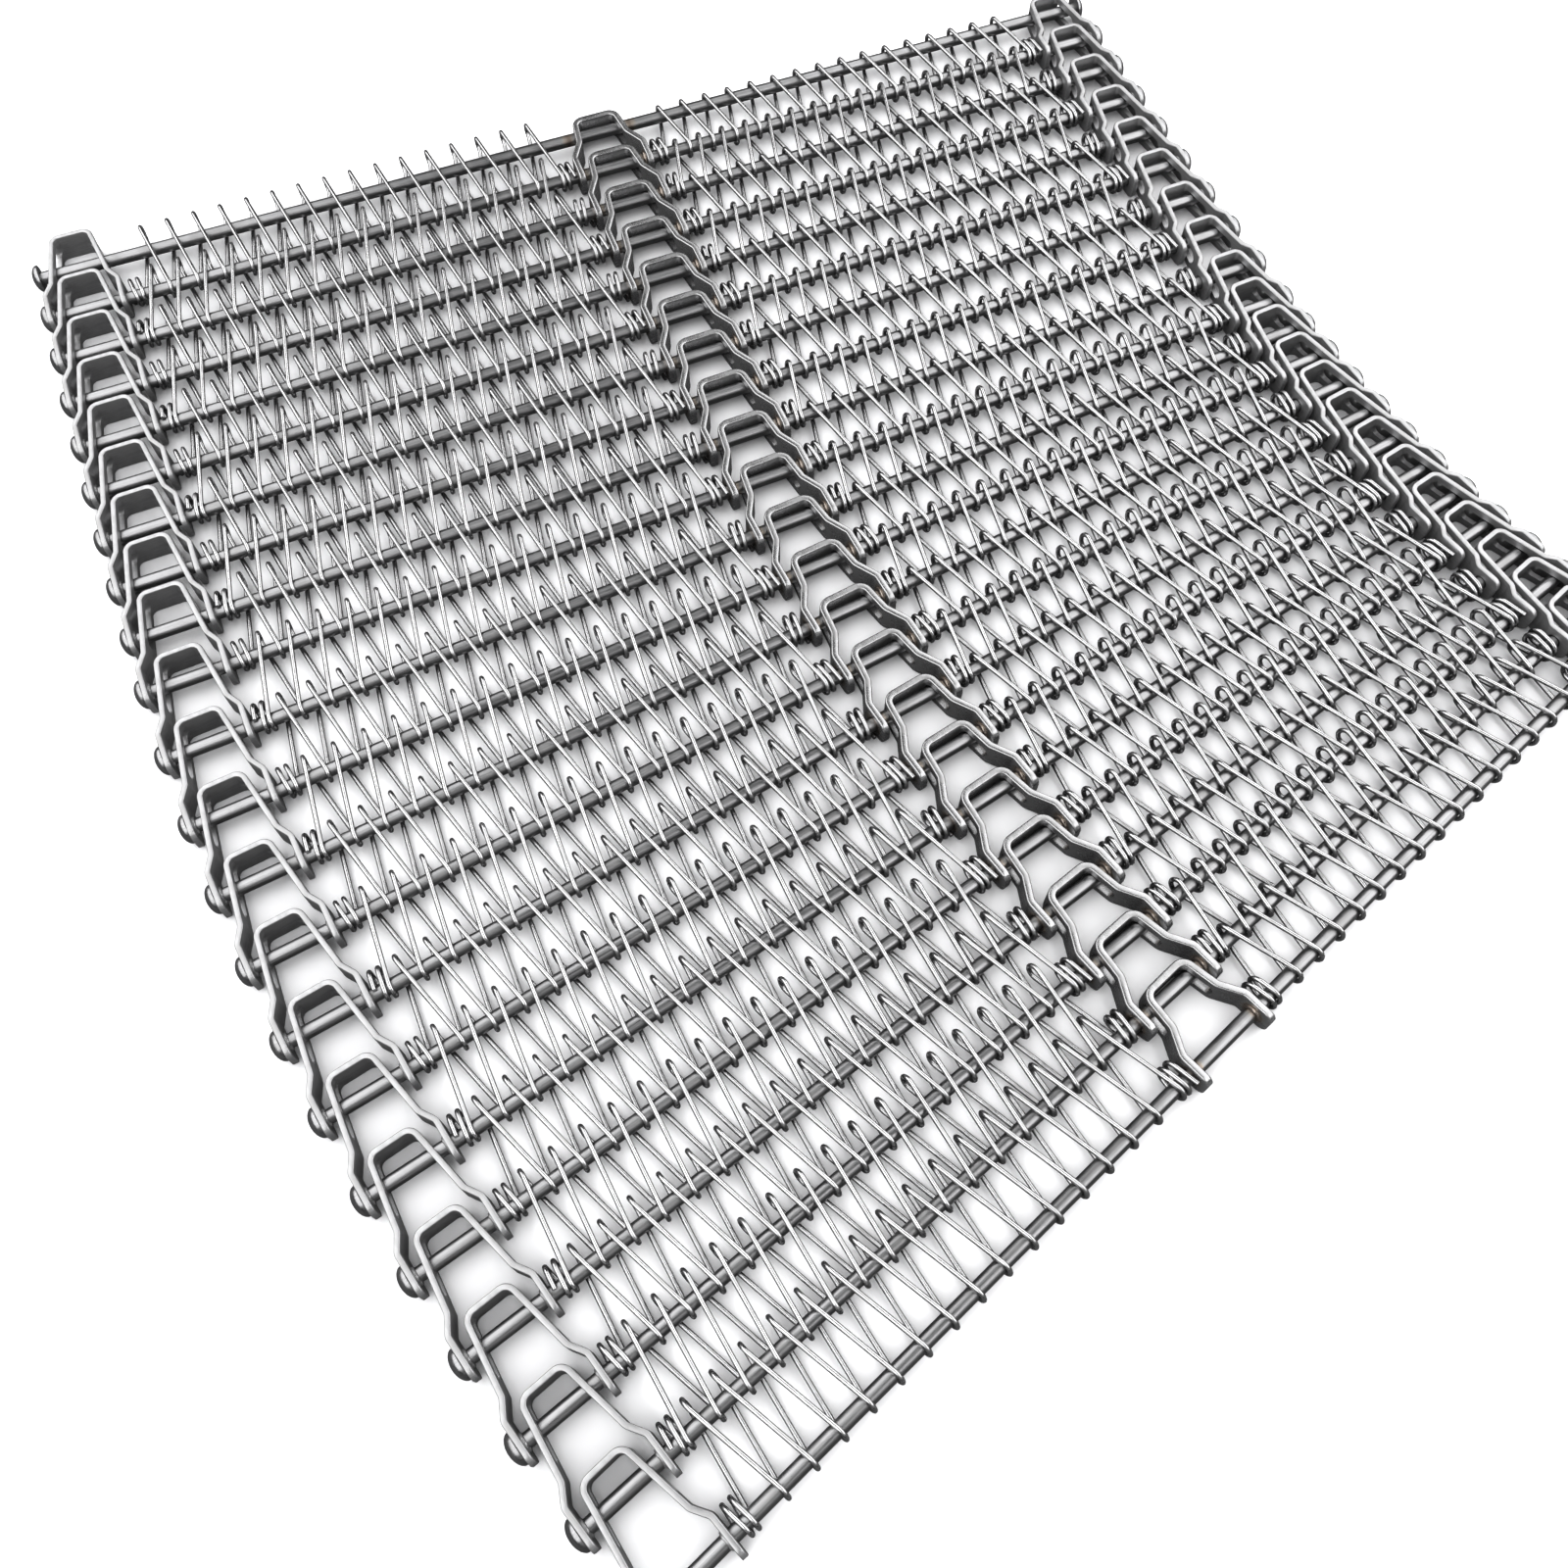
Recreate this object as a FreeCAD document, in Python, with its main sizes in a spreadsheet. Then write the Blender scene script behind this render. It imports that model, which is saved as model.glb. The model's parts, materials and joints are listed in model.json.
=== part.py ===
import FreeCAD, Part
import math
import os
import Sketcher
from FreeCAD import Placement, Rotation, Vector

# A length of small-radius grid belt lying flat, in millimetres, with +Z up.
# X runs across the belt from its outer to its inner edge, and +Y points to the back rod.
# Each row is a set of three bent strip links and two flat wire spirals; a rod joins it to the next row.
# A row's own frame has the middle of its front rod at the origin and that rod along X.

doc = FreeCAD.newDocument("spiral_conveyor_belt")
sheet = doc.addObject("Spreadsheet::Sheet", "sizes")

# Driving sizes: millimetres, degrees and counts
belt_sizes = {
    "row_count": 21,
    "belt_width": 568.0,  # between the flats under the rod heads
    "centre_offset": 7.0,  # centre link's axis from the middle of the belt
    "belt_pitch": 27.4,  # rod to rod at the centre link, pulled tight
    "pitch_slack": 0.5,  # how far the belt lies short of tight
    "straight_rows": 9,  # row joints in the nearly straight stretch at the back
    "straight_turn": 0.30,  # turn of each of them
    "curve_turn": 1.60,  # turn of each row joint in the curve
    "rod_diameter": 6.0,
    "head_diameter": 13.0,
    "head_height": 4.2,
    "hole_clearance": 0.3,  # round the rod in a link's holes and slots
    "strip_height": 14.0,
    "end_overhang": 8.0,  # leg end beyond the rod's axis
    "end_corner": 4.0,  # radius on the leg ends, seen from the side
    "wire_diameter": 2.0,
    "wire_clearance": 0.35,  # between a rod and the wire bent round it
    "loop_count": 16,  # loops of a spiral
    "ring_turns": 2,  # close turns round the rod at each end of a spiral
    "ring_advance": 3.6,  # step of a close turn along the rod
    "ring_run": 5.0,  # straight stretch of a close turn
    "bay_gap": 1.0,  # between a spiral's end and the link beside it
    "outer_run": 40.0,  # straight stretch of a loop in the outer spiral
    "inner_run": 28.5,  # straight stretch of a loop in the inner spiral
}

# Sizes of each style of link; half widths are from its axis to the middle of the strip
link_sizes = {
    "outer": {
        "strip": 2.4,
        "open_pitch": 41.6,  # rod to rod with the rod at the back of the slot
        "closed_pitch": 25.0,  # rod to rod with the rod at the front of the slot
        "base_half": 9.7,
        "waist_half": 13.6,
        "end_half": 17.7,
        "waist_reach": 17.2,  # from the hole back to the bend that widens the legs
        "flare_reach": 8.2,  # from the hole back to the bend that straightens them
        "corner_radius": 3.0,  # inside the corners of the base
        "bend_radius": 2.5,  # inside the other bends
    },
    "centre": {
        "strip": 3.2,
        "closed_pitch": 19.0,
        "base_half": 11.3,
        "waist_half": 12.7,
        "end_half": 18.5,
        "waist_reach": 18.2,
        "flare_reach": 5.3,
        "corner_radius": 3.0,
        "bend_radius": 3.5,
    },
    "inner": {
        "strip": 2.4,
        "closed_pitch": 16.5,
        "base_half": 8.4,
        "waist_half": 11.6,
        "end_half": 15.1,
        "waist_reach": 10.2,
        "flare_reach": 4.0,
        "corner_radius": 2.8,
        "bend_radius": 1.5,
    },
}


def fill_sheet():
    cells = dict(belt_sizes)
    for style, sizes in link_sizes.items():
        for name, size in sizes.items():
            cells[style + "_" + name] = size
    for row, (alias, size) in enumerate(cells.items(), start=1):
        sheet.set("A%d" % row, alias)
        sheet.set("B%d" % row, str(size))
        sheet.setAlias("B%d" % row, alias)
    doc.recompute()


def size_of(alias):
    return float(sheet.get(alias))


def plane_of(body, role):
    return [feature for feature in body.Origin.OriginFeatures if feature.Role == role][0]


def new_sketch(body, name, role):
    sketch = body.newObject("Sketcher::SketchObject", name)
    sketch.AttachmentSupport = [(plane_of(body, role), "")]
    sketch.MapMode = "FlatFace"
    return sketch


def dimension(sketch, kind, places, expression):
    # The drawn size stands until the sheet's value replaces it
    index = sketch.addConstraint(Sketcher.Constraint(kind, *places))
    sketch.setExpression("Constraints[%d]" % index, expression)


def span(sketch, kind, geometry, end, drawn, expression):
    # Distance of a point from the sketch's origin along one axis
    dimension(sketch, kind, (-1, 1, geometry, end, drawn), expression)


def turned(vector):
    # A flat vector turned a quarter to the left
    return Vector(-vector.y, vector.x, 0)


def heading(angle):
    return Vector(math.cos(angle), math.sin(angle), 0)


def crossing(first, second, reach, side):
    # Direction of the line that passes two pins on opposite sides, reach being their radii together
    gap = second - first
    return heading(math.atan2(gap.y, gap.x) - side * math.asin(reach / gap.Length))


def strip_outline(sketch, style):
    # Half of a bent strip seen from above: the base, its corner, and a leg with two more bends
    own = {name: size_of(style + "_" + name) for name in link_sizes[style]}
    strip = own["strip"]
    reach = base_reach(style)
    corner = own["corner_radius"] + strip / 2
    bend = own["bend_radius"] + strip / 2
    pins = [
        Vector(own["base_half"] - corner, reach - strip / 2 - corner, 0),
        Vector(own["waist_half"] + bend, own["waist_reach"], 0),
        Vector(own["end_half"] - bend, own["flare_reach"], 0),
    ]
    radii = [corner, bend, bend]
    sides = [1, -1, 1]  # 1 where the pin is inside the link
    headings = [
        Vector(1, 0, 0),
        crossing(pins[0], pins[1], corner + bend, 1),
        crossing(pins[1], pins[2], 2 * bend, -1),
        Vector(0, -1, 0),
    ]
    faces = {}
    for face in (1, -1):
        stops = [Vector(0, reach - strip / 2, 0) + turned(headings[0]) * (face * strip / 2)]
        for pin, radius, side, before, after in zip(pins, radii, sides, headings, headings[1:]):
            outward = side * radius + face * strip / 2
            stops.append(pin + turned(before) * outward)
            stops.append(pin + turned(after) * outward)
        stops.append(Vector(own["end_half"] + face * strip / 2, -size_of("end_overhang"), 0))
        lines = []
        arcs = []
        for index in range(4):
            lines.append(sketch.addGeometry(Part.LineSegment(stops[2 * index], stops[2 * index + 1])))
        for index, (pin, side) in enumerate(zip(pins, sides)):
            begin = stops[2 * index + 1] - pin
            finish = stops[2 * index + 2] - pin
            if side > 0:
                begin, finish = finish, begin
            circle = Part.Circle(pin, Vector(0, 0, 1), begin.Length)
            first = math.atan2(begin.y, begin.x)
            last = math.atan2(finish.y, finish.x)
            arcs.append(sketch.addGeometry(Part.ArcOfCircle(circle, first, last)))
            into, out_of = (2, 1) if side > 0 else (1, 2)
            sketch.addConstraint(Sketcher.Constraint("Tangent", lines[index], 2, arcs[index], into))
            sketch.addConstraint(Sketcher.Constraint("Tangent", arcs[index], out_of, lines[index + 1], 1))
            name = "corner_radius" if index == 0 else "bend_radius"
            grown = " + sizes.%s_strip" % style if side == face else ""
            radius_expression = "sizes.%s_%s%s" % (style, name, grown)
            dimension(sketch, "Radius", (arcs[index], begin.Length), radius_expression)
        sketch.addConstraint(Sketcher.Constraint("Horizontal", lines[0]))
        sketch.addConstraint(Sketcher.Constraint("Vertical", lines[3]))
        sketch.addConstraint(Sketcher.Constraint("PointOnObject", lines[0], 1, -2))
        faces[face] = (lines, arcs, stops)
    outer_lines, outer_arcs, outer_stops = faces[1]
    inner_lines, inner_arcs, inner_stops = faces[-1]
    tip = sketch.addGeometry(Part.LineSegment(outer_stops[-1], inner_stops[-1]))
    middle = sketch.addGeometry(Part.LineSegment(inner_stops[0], outer_stops[0]))
    sketch.addConstraint(Sketcher.Constraint("Coincident", outer_lines[3], 2, tip, 1))
    sketch.addConstraint(Sketcher.Constraint("Coincident", tip, 2, inner_lines[3], 2))
    sketch.addConstraint(Sketcher.Constraint("Coincident", inner_lines[0], 1, middle, 1))
    sketch.addConstraint(Sketcher.Constraint("Coincident", middle, 2, outer_lines[0], 1))
    sketch.addConstraint(Sketcher.Constraint("Horizontal", tip))
    for outer_arc, inner_arc in zip(outer_arcs, inner_arcs):
        sketch.addConstraint(Sketcher.Constraint("Coincident", outer_arc, 3, inner_arc, 3))
    inset = "sizes.{0}_%s_radius + sizes.{0}_strip / 2".format(style)
    centres = [
        "sizes.%s_base_half - (%s)" % (style, inset % "corner"),
        "sizes.%s_waist_half + (%s)" % (style, inset % "bend"),
        "sizes.%s_end_half - (%s)" % (style, inset % "bend"),
    ]
    for arc, pin, expression in zip(outer_arcs, pins, centres):
        span(sketch, "DistanceX", arc, 3, pin.x, expression)
    span(sketch, "DistanceY", outer_lines[0], 1, reach, base_reach_expression(style))
    span(sketch, "DistanceY", outer_arcs[1], 3, pins[1].y, "sizes.%s_waist_reach" % style)
    span(sketch, "DistanceY", outer_arcs[2], 3, pins[2].y, "sizes.%s_flare_reach" % style)
    overhang = size_of("end_overhang")
    dimension(sketch, "DistanceY", (tip, 1, -1, 1, overhang), "sizes.end_overhang")


def open_pitch_name(style):
    # The outer link draws out in a turn; the others stop at the belt's own pitch
    return "outer_open_pitch" if style == "outer" else "belt_pitch"


def base_reach_expression(style):
    # From a link's holes back to the outside of its base
    own = "sizes.%s + sizes.%s_strip" % (open_pitch_name(style), style)
    return own + " + sizes.rod_diameter / 2 + sizes.hole_clearance"


def base_reach(style):
    own = size_of(open_pitch_name(style)) + size_of(style + "_strip")
    return own + size_of("rod_diameter") / 2 + size_of("hole_clearance")


def rod_openings(sketch, style):
    # Side view of a leg: the round hole for the front rod and the slot for the back rod
    radius = size_of("rod_diameter") / 2 + size_of("hole_clearance")
    radius_expression = "sizes.rod_diameter / 2 + sizes.hole_clearance"
    near = Vector(size_of(style + "_closed_pitch"), 0, 0)
    far = Vector(size_of(open_pitch_name(style)), 0, 0)
    rise = Vector(0, radius, 0)
    up = Vector(0, 0, 1)
    quarter = math.pi / 2
    hole = sketch.addGeometry(Part.Circle(Vector(0, 0, 0), up, radius))
    back = sketch.addGeometry(Part.ArcOfCircle(Part.Circle(far, up, radius), -quarter, quarter))
    front = sketch.addGeometry(Part.ArcOfCircle(Part.Circle(near, up, radius), quarter, 3 * quarter))
    top = sketch.addGeometry(Part.LineSegment(far + rise, near + rise))
    bottom = sketch.addGeometry(Part.LineSegment(near - rise, far - rise))
    sketch.addConstraint(Sketcher.Constraint("Coincident", hole, 3, -1, 1))
    sketch.addConstraint(Sketcher.Constraint("Tangent", back, 2, top, 1))
    sketch.addConstraint(Sketcher.Constraint("Tangent", top, 2, front, 1))
    sketch.addConstraint(Sketcher.Constraint("Tangent", front, 2, bottom, 1))
    sketch.addConstraint(Sketcher.Constraint("Tangent", bottom, 2, back, 1))
    sketch.addConstraint(Sketcher.Constraint("PointOnObject", back, 3, -1))
    sketch.addConstraint(Sketcher.Constraint("PointOnObject", front, 3, -1))
    for round_edge in (hole, back, front):
        dimension(sketch, "Radius", (round_edge, radius), radius_expression)
    span(sketch, "DistanceX", back, 3, far.x, "sizes." + open_pitch_name(style))
    span(sketch, "DistanceX", front, 3, near.x, "sizes.%s_closed_pitch" % style)


def leg_end_edges(shape):
    # The short edges across the strip at the tips of the legs
    found = []
    for number, edge in enumerate(shape.Edges, start=1):
        box = edge.BoundBox
        at_tip = abs(box.YMax + size_of("end_overhang")) < 0.01
        if at_tip and box.ZLength < 0.01 and box.YLength < 0.01:
            found.append("Edge%d" % number)
    return found


def make_link(style):
    body = doc.addObject("PartDesign::Body", style + "_link")
    outline = new_sketch(body, style + "_outline", "XY_Plane")
    strip_outline(outline, style)
    strip = body.newObject("PartDesign::Pad", style + "_strip")
    strip.Profile = outline
    strip.SideType = "Symmetric"
    strip.setExpression("Length", "sizes.strip_height")
    doc.recompute()
    both = body.newObject("PartDesign::Mirrored", style + "_both_legs")
    both.Originals = [strip]
    both.MirrorPlane = (plane_of(body, "YZ_Plane"), [""])
    body.Tip = both
    doc.recompute()
    openings = new_sketch(body, style + "_openings", "YZ_Plane")
    rod_openings(openings, style)
    cut = body.newObject("PartDesign::Pocket", style + "_rod_openings")
    cut.Profile = openings
    cut.Type = "ThroughAll"
    cut.SideType = "Symmetric"
    doc.recompute()
    tips = body.newObject("PartDesign::Fillet", style + "_leg_tips")
    tips.Base = (cut, leg_end_edges(cut.Shape))
    tips.setExpression("Radius", "sizes.end_corner")
    body.Tip = tips
    doc.recompute()
    if not tips.Shape.Volume < cut.Shape.Volume < both.Shape.Volume:
        raise RuntimeError(style + " link: the rod openings or leg tips were not cut")
    return body


def make_shank():
    # The round bar between the heads, along X
    body = doc.addObject("PartDesign::Body", "rod_shank")
    section = new_sketch(body, "rod_section", "YZ_Plane")
    radius = size_of("rod_diameter") / 2
    circle = section.addGeometry(Part.Circle(Vector(0, 0, 0), Vector(0, 0, 1), radius))
    section.addConstraint(Sketcher.Constraint("Coincident", circle, 3, -1, 1))
    dimension(section, "Radius", (circle, radius), "sizes.rod_diameter / 2")
    bar = body.newObject("PartDesign::Pad", "rod_bar")
    bar.Profile = section
    bar.SideType = "Symmetric"
    bar.setExpression("Length", "sizes.belt_width")
    doc.recompute()
    return body


def make_head():
    # The domed button welded on the right end of a rod, turned about X
    body = doc.addObject("PartDesign::Body", "button_head")
    profile = new_sketch(body, "head_profile", "XY_Plane")
    half = size_of("belt_width") / 2
    head = size_of("head_diameter") / 2
    rise = size_of("head_height")
    dome = (head * head + rise * rise) / (2 * rise)
    middle = half + rise - dome
    lean = math.atan2(head, half - middle)
    foot = Vector(half, 0, 0)
    rim = Vector(half, head, 0)
    crown = Vector(half + rise, 0, 0)
    circle = Part.Circle(Vector(middle, 0, 0), Vector(0, 0, 1), dome)
    dome_arc = profile.addGeometry(Part.ArcOfCircle(circle, 0, lean))
    flat = profile.addGeometry(Part.LineSegment(rim, foot))
    axis = profile.addGeometry(Part.LineSegment(foot, crown))
    for places in ((dome_arc, 2, flat, 1), (flat, 2, axis, 1), (axis, 2, dome_arc, 1)):
        profile.addConstraint(Sketcher.Constraint("Coincident", *places))
    profile.addConstraint(Sketcher.Constraint("Vertical", flat))
    for place in ((dome_arc, 3), (axis, 1), (axis, 2)):
        profile.addConstraint(Sketcher.Constraint("PointOnObject", *place, -1))
    span(profile, "DistanceX", axis, 1, half, "sizes.belt_width / 2")
    span(profile, "DistanceX", axis, 2, half + rise, "sizes.belt_width / 2 + sizes.head_height")
    span(profile, "DistanceY", flat, 1, head, "sizes.head_diameter / 2")
    turn = body.newObject("PartDesign::Revolution", "head_turn")
    turn.Profile = profile
    turn.ReferenceAxis = (profile, ["H_Axis"])
    turn.Angle = 360
    doc.recompute()
    return body


def make_rod():
    # A round rod with a button head on each end
    right_head = make_head()
    half_turn = Placement(Vector(0, 0, 0), Rotation(Vector(0, 0, 1), 180))
    left_head = place_copy(right_head, "left_button_head", half_turn)
    return group("cross_rod", [make_shank(), right_head, left_head])


def bend_wire(corners, point, before, after, down, radius):
    # A half turn of wire in four equal bends, the straights between them touching a circle of that radius
    reach = radius * math.tan(math.pi / 8)
    dip = point + (before + down) * radius
    landing = dip + (after + down) * radius
    corners.append(point + before * reach)
    corners.append(dip - down * reach)
    corners.append(dip + down * reach)
    corners.append(landing - after * reach)
    return landing


def make_spiral(name, run, start, length, hand):
    # A flat spiral from start along X: close rings, loops round both rods, close rings again.
    # The loops hug the front rod and reach back past the back rod; hand 1 starts over the rod.
    wire_radius = size_of("wire_diameter") / 2
    radius = size_of("rod_diameter") / 2 + size_of("wire_clearance") + wire_radius
    loops = int(size_of("loop_count"))
    rings = int(size_of("ring_turns"))
    ring_run = size_of("ring_run")
    ring_slope = size_of("ring_advance") / (2 * (ring_run + 2 * radius))
    ring_length = ring_slope * (4 * rings * (ring_run + 2 * radius) - 2 * radius)
    loop_slope = (length - 2 * wire_radius - ring_length) / (2 * loops * (run + 2 * radius))
    ring_runs = [(ring_run, ring_slope)] * (2 * rings)
    runs = ring_runs + [(run, loop_slope)] * (2 * loops) + ring_runs
    headings = []
    for number, (straight, slope) in enumerate(runs):
        backward = 1 if number % 2 == 0 else -1
        headings.append(Vector(slope, backward * math.sqrt(1 - slope * slope), 0))
    point = Vector(start + wire_radius, 0, hand * radius)
    section = Part.Wire(Part.makeCircle(wire_radius, point, headings[0]))
    corners = [point]
    for number, (straight, slope) in enumerate(runs):
        point = point + headings[number] * straight
        if number + 1 < len(runs):
            down = Vector(0, 0, -hand if number % 2 == 0 else hand)
            point = bend_wire(corners, point, headings[number], headings[number + 1], down, radius)
    corners.append(point + headings[-1] * radius)
    path = Part.makePolygon(corners)
    mitred = 1
    spiral = doc.addObject("Part::Feature", name)
    spiral.Shape = path.makePipeShell([section], True, False, mitred)
    expected = Part.Face(section).Area * path.Length
    if abs(spiral.Shape.Volume - expected) > 0.005 * expected:
        raise RuntimeError("%s: volume %.1f, not %.1f" % (name, spiral.Shape.Volume, expected))
    return spiral


def outside_half(style):
    return size_of(style + "_end_half") + size_of(style + "_strip") / 2


def link_place(style):
    # Where a link's axis crosses its front rod: the edge links stand against the rod heads
    half = "sizes.belt_width / 2"
    own = "(sizes.%s_end_half + sizes.%s_strip / 2)" % (style, style)
    if style == "outer":
        return "%s - %s" % (own, half)
    if style == "inner":
        return "%s - %s" % (half, own)
    return "sizes.centre_offset"


def make_row_pieces():
    links = {}
    for style in link_sizes:
        links[style] = make_link(style)
        links[style].setExpression(".Placement.Base.x", link_place(style))
    doc.recompute()
    gap = size_of("bay_gap")
    edges = {}
    for style, link in links.items():
        axis = link.Placement.Base.x
        edges[style] = (axis - outside_half(style), axis + outside_half(style))
    bays = {
        "outer": (edges["outer"][1] + gap, edges["centre"][0] - gap),
        "inner": (edges["centre"][1] + gap, edges["inner"][0] - gap),
    }
    link_set = group("link_set", list(links.values()))
    pairs = []
    for hand, hand_name in ((1, "over"), (-1, "under")):
        spirals = []
        for side, (start, end) in bays.items():
            name = "%s_spiral_%s" % (side, hand_name)
            spirals.append(make_spiral(name, size_of(side + "_run"), start, end - start, hand))
        pairs.append(group("spiral_set_" + hand_name, spirals))
    doc.recompute()
    return link_set, pairs


def group(label, pieces):
    # Pieces kept together as separate solids
    together = doc.addObject("Part::Compound", label)
    together.Links = pieces
    return together


def row_turn(row):
    return size_of("straight_turn") if row <= size_of("straight_rows") else size_of("curve_turn")


def rod_frames():
    # Frame of each rod, the back one first; the centre links all lie one pitch apart
    pitch = size_of("belt_pitch") - size_of("pitch_slack")
    offset = Vector(size_of("centre_offset"), 0, 0)
    angle = 0.0
    centre = Vector(0, 0, 0)
    frames = [Placement(centre - offset, Rotation())]
    for row in range(1, int(size_of("row_count")) + 1):
        angle += row_turn(row)
        turn = Rotation(Vector(0, 0, 1), angle)
        centre = centre + turn.multVec(Vector(0, -pitch, 0))
        frames.append(Placement(centre - turn.multVec(offset), turn))
    return frames


def place_copy(source, label, frame):
    copy = doc.addObject("App::Link", label)
    copy.Label = label
    copy.LinkedObject = source
    copy.Placement = frame
    return copy


def assemble():
    rod = make_rod()
    link_set, pairs = make_row_pieces()
    frames = rod_frames()
    rods = []
    rows = []
    for number, frame in enumerate(frames, start=1):
        rods.append(place_copy(rod, "cross_rod_%02d" % number, frame))
    for number, frame in enumerate(frames[1:], start=1):
        links = place_copy(link_set, "link_row_%02d" % number, frame)
        spirals = place_copy(pairs[number % 2], "spiral_pair_%02d" % number, frame)
        rows.append([links, spirals])
    doc.recompute()
    copies = rods + sum(rows, [])
    box = FreeCAD.BoundBox()
    for copy in copies:
        box.add(Part.getShape(copy).BoundBox)
    shift = Vector(-box.Center.x, -box.Center.y, size_of("strip_height") / 2)
    for copy in copies:
        copy.Placement = Placement(copy.Placement.Base + shift, copy.Placement.Rotation)
    # The end rows each hold their own end rod
    back_row = group("back_row", [rods[0]] + rows[0])
    front_row = group("front_row", [rods[-1]] + rows[-1])
    doc.recompute()
    return [back_row, front_row] + rods[1:-1] + sum(rows[1:-1], [])


def write_parts(nodes):
    for item in doc.Objects:
        if "Invalid" in item.State or "Error" in item.State:
            raise RuntimeError("%s failed: %s" % (item.Name, item.State))
    shapes = {node.Label: Part.getShape(node) for node in nodes}
    for label, shape in shapes.items():
        if shape.isNull() or not shape.isValid():
            raise RuntimeError(label + " has no valid shape")
    os.makedirs("parts", exist_ok=True)
    for label, shape in shapes.items():
        shape.exportStep("parts/%s.step" % label)


fill_sheet()
write_parts(assemble())
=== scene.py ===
import json
import math
import bmesh
import bpy
from mathutils import Matrix, Vector, noise


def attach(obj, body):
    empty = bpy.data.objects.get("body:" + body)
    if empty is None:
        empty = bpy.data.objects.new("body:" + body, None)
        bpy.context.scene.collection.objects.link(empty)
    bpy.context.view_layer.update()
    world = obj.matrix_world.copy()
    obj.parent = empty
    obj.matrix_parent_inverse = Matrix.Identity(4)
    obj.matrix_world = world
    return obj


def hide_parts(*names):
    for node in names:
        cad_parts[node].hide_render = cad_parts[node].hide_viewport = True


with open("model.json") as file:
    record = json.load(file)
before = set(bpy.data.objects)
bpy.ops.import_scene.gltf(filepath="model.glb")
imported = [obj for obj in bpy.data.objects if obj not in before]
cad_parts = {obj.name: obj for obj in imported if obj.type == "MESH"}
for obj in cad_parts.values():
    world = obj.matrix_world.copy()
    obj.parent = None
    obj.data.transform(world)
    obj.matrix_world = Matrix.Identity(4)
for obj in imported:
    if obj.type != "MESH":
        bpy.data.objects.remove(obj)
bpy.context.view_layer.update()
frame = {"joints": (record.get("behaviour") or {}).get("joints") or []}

# The belt lies as the frame has it: rows are counted from the back rod, in metres
belt = {
    "rows": 21,
    "pitch": 0.0269,  # rod to rod at the centre link
    "centreOffset": 0.007,  # centre link from the middle of its rod
    "halfWidth": 0.284,  # middle of a rod to the flat under its head
    "firstTurn": 0.30,  # degrees between the back rod and the next one
    "lastTurn": 1.60,  # degrees between the two rods in front
    "holeRadius": 0.0033,  # of the holes and slots in the links
}


def turnZ(degrees):
    return Matrix.Rotation(math.radians(degrees), 4, "Z")


def rodFrames():
    toCentre = Matrix.Translation((belt["centreOffset"], 0, 0))
    fromCentre = toCentre.inverted()
    onePitch = Matrix.Translation((0, belt["pitch"], 0))
    found = {}
    for joint in frame["joints"]:
        if joint["name"].startswith("fold_"):
            yaw = math.atan2(joint["axis"][1], joint["axis"][0])
            spot = Matrix.Translation(joint["pos_m"]) @ Matrix.Rotation(yaw, 4, "Z")
            found[int(joint["name"][-2:])] = spot @ fromCentre
    # The end rods have no hinge of their own, so they are one pitch from their neighbours
    rows = belt["rows"]
    found[1] = found[2] @ toCentre @ onePitch @ turnZ(-belt["firstTurn"]) @ fromCentre
    found[rows + 1] = found[rows] @ toCentre @ turnZ(belt["lastTurn"]) @ onePitch.inverted() @ fromCentre
    return found


rodAt = rodFrames()


def rowBody(row):
    if row == 1:
        return "back_row"
    return "front_row" if row == belt["rows"] else "row_%02d" % row


def rodBody(number):
    if number == 1:
        return "back_row"
    return "front_row" if number == belt["rows"] + 1 else "rod_%02d" % number


def nodeOf(kind, number, body):
    return body if body in ("back_row", "front_row") else "%s_%02d" % (kind, number)


# Shader helpers

def addNode(tree, kind, place, **values):
    node = tree.nodes.new(kind)
    node.location = place
    for name, value in values.items():
        setattr(node, name, value)
    return node


def setInput(node, name, value):
    node.inputs[name].default_value = value


def newGroup(name, inputs, outputs):
    tree = bpy.data.node_groups.new(name, "ShaderNodeTree")
    for direction, sockets in (("INPUT", inputs), ("OUTPUT", outputs)):
        for label, kind in sockets:
            tree.interface.new_socket(label, in_out=direction, socket_type="NodeSocket" + kind)
    start = addNode(tree, "NodeGroupInput", (-900, 0))
    end = addNode(tree, "NodeGroupOutput", (700, 0))
    return tree, start, end


def mathNode(tree, operation, place, first, second, clamp=False):
    node = addNode(tree, "ShaderNodeMath", place, operation=operation, use_clamp=clamp)
    for socket, value in zip(node.inputs, (first, second)):
        if isinstance(value, (int, float)):
            socket.default_value = value
        elif value is not None:
            tree.links.new(value, socket)
    return node.outputs[0]


def rangeNode(tree, place, value, fromRange, toRange):
    node = addNode(tree, "ShaderNodeMapRange", place, interpolation_type="SMOOTHSTEP")
    tree.links.new(value, node.inputs["Value"])
    for side, (low, high) in (("From", fromRange), ("To", toRange)):
        setInput(node, side + " Min", low)
        setInput(node, side + " Max", high)
    return node.outputs["Result"]


def mixColour(tree, place, factor, first, second):
    node = addNode(tree, "ShaderNodeMix", place, data_type="RGBA")
    tree.links.new(factor, node.inputs[0])
    for socket, value in ((node.inputs[6], first), (node.inputs[7], second)):
        if isinstance(value, tuple):
            socket.default_value = value
        else:
            tree.links.new(value, socket)
    return node.outputs[2]


# Drawing lines, handling smudges and pits: each range is the stretch of the texture that shows

grain = {
    "lineDetail": 4.0,
    "lineRoughness": 0.6,
    "lineRange": (0.3, 0.7),
    "smudgeDetail": 3.0,
    "smudgeDistortion": 0.6,
    "smudgeRange": (0.4, 0.72),
    "pitRange": (0.06, 0.16),
}


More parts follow.
